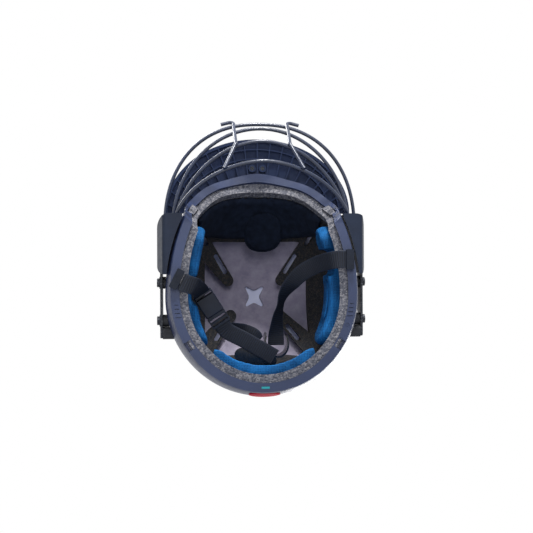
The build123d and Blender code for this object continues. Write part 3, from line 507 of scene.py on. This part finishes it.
# Painted shade: the tone stored on the mesh darkens the colour to 0.15 in the hollows between the ribs.
groove_painted_shade = add_node(tree, "ShaderNodeAttribute", attribute_name="rib").outputs["Fac"]
shade = add_node(tree, "ShaderNodeMapRange", {0: groove_painted_shade, 1: 0.0, 2: 0.8, 3: 0.15, 4: 1.0})
tone = {0: 1.0, 6: thread.outputs[0], 7: shade.outputs[0]}
tone = add_node(tree, "ShaderNodeMix", tone, data_type="RGBA", blend_type="MULTIPLY")
tree.links.new(tone.outputs[2], shader.inputs["Base Color"])
bump = add_node(tree, "ShaderNodeBump", {"Height": yarn, "Distance": 0.15 * mm, "Strength": 0.6})
tree.links.new(bump.outputs[0], shader.inputs["Normal"])

left_route = [
    ((92.0, 2.0, 5.5), (0, 1, 0)),
    ((84.5, 2.0, 6.0), (0, 1, 0)),
    ((77.5, 3.0, 11.0), (0.1, 1, 0)),
    ((71.5, 4.7, 20.5), (0.2, 1, 0)),
    ((65.0, 7.2, 30.5), (0.25, 1, 0)),
    ((57.0, 11.5, 40.0), (0.35, 1, 0.1)),
    ((48.0, 17.5, 48.0), (0.55, 1, 0.25)),
    ((38.5, 28.0, 57.0), (0.8, 0.9, 0.5)),
    ((30.5, 40.0, 65.5), (0.9, 0.5, 0.95)),
    ((25.5, 54.0, 73.0), (0.75, 0.2, 1.5)),
    ((22.0, 69.0, 78.0), (0.85, 0.1, 1.0)),
    ((20.5, 84.0, 80.5), (1, 0, 0.6)),
    ((20.0, 95.0, 82.0), (1, 0, 0.2)),
    ((20.0, 106.5, 82.3), (1, 0, 0)),
]
right_route = [
    ((-92.6, 25.6, 3.9), (-0.5, 1, 0)),
    ((-86.0, 28.9, 4.5), (-0.55, 1, 0)),
    ((-78.0, 31.5, 9.0), (-0.6, 1, 0)),
    ((-75.5, 33.5, 19.0), (-0.7, 1, 0)),
    ((-74.0, 35.5, 29.0), (-0.85, 1, 0)),
    ((-72.0, 38.0, 42.0), (-1.1, 1, 0)),
    ((-70.0, 41.5, 54.8), (-1.58, 1, 0)),
]
double_route = [
    ((-46.4, 79.1, 68.2), (-1.58, 1, 0)),
    ((-43.8, 83.3, 69.0), (-1.5, 1.05, 0)),
    ((-39.5, 87.6, 69.6), (-1.2, 1.4, 0)),
    ((-32.0, 92.0, 70.0), (-1.1, 1.5, 0)),
    ((-22.0, 97.0, 70.2), (-1.0, 1.7, 0)),
    ((-9.0, 104.5, 70.0), (-1.0, 1.8, 0)),
    ((4.0, 112.0, 69.0), (-1.0, 1.8, 0)),
    ((17.0, 119.8, 68.0), (-1.0, 1.8, 0)),
]
tail_route = [
    ((-38.0, 86.0, 73.6), (-1.2, 1.4, 0)),
    ((-30.0, 87.5, 78.0), (-1.1, 1.5, 0)),
    ((-19.0, 90.0, 82.0), (-1.0, 1.7, 0)),
    ((-9.5, 94.0, 81.5), (-1.0, 1.8, 0)),
    ((-5.0, 98.0, 77.5), (-1.0, 1.8, 0)),
    ((-3.5, 101.0, 73.6), (-1.0, 1.8, 0)),
]
straps = {
    "web_left": (left_route, 1.6),
    "web_right": (right_route, 1.6),
    "web_double": (double_route, 3.2),
    "web_tail": (tail_route, 1.6),
}
for node, (route, thick_mm) in straps.items():
    strap = webbing("webbing_" + node, route, thick_mm, strap_weave)
    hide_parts(node)
    if node in ("web_double", "web_tail"):
        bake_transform(strap)
    else:
        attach(strap, "helmet")

# Anchors: the strap's ends, folded on themselves and stitched flat against the rim. The folds
# leave a coarse, uneven face.
folded_weave = moulded("polyester_webbing_folded", "#10151f", "#1b2230", 0.65, 1.3, 0.5, 0.25)
dress(folded_weave, "anchor_left", "anchor_right")

# Buckle: a side-release buckle in two halves on the strap, moulded in acetal, black, with a fine
# satin skin.
acetal = moulded("acetal_moulded_black", "#0c1220", "#162032", 0.4, 1.2, 0.04, 0.3)
dress(acetal, "buckle_female", "buckle_male", "prong_left", "prong_right")

# Chin cup: a moulded cup of black thermoplastic elastomer round the strap, with a flat tongue. Its
# polished mould leaves a glossy skin.
cup_rubber = moulded("tpe_moulded_black_gloss", "#0e1118", "#171b24", 0.22, 4.0, 0.05)
dress(cup_rubber, "chin_cup")
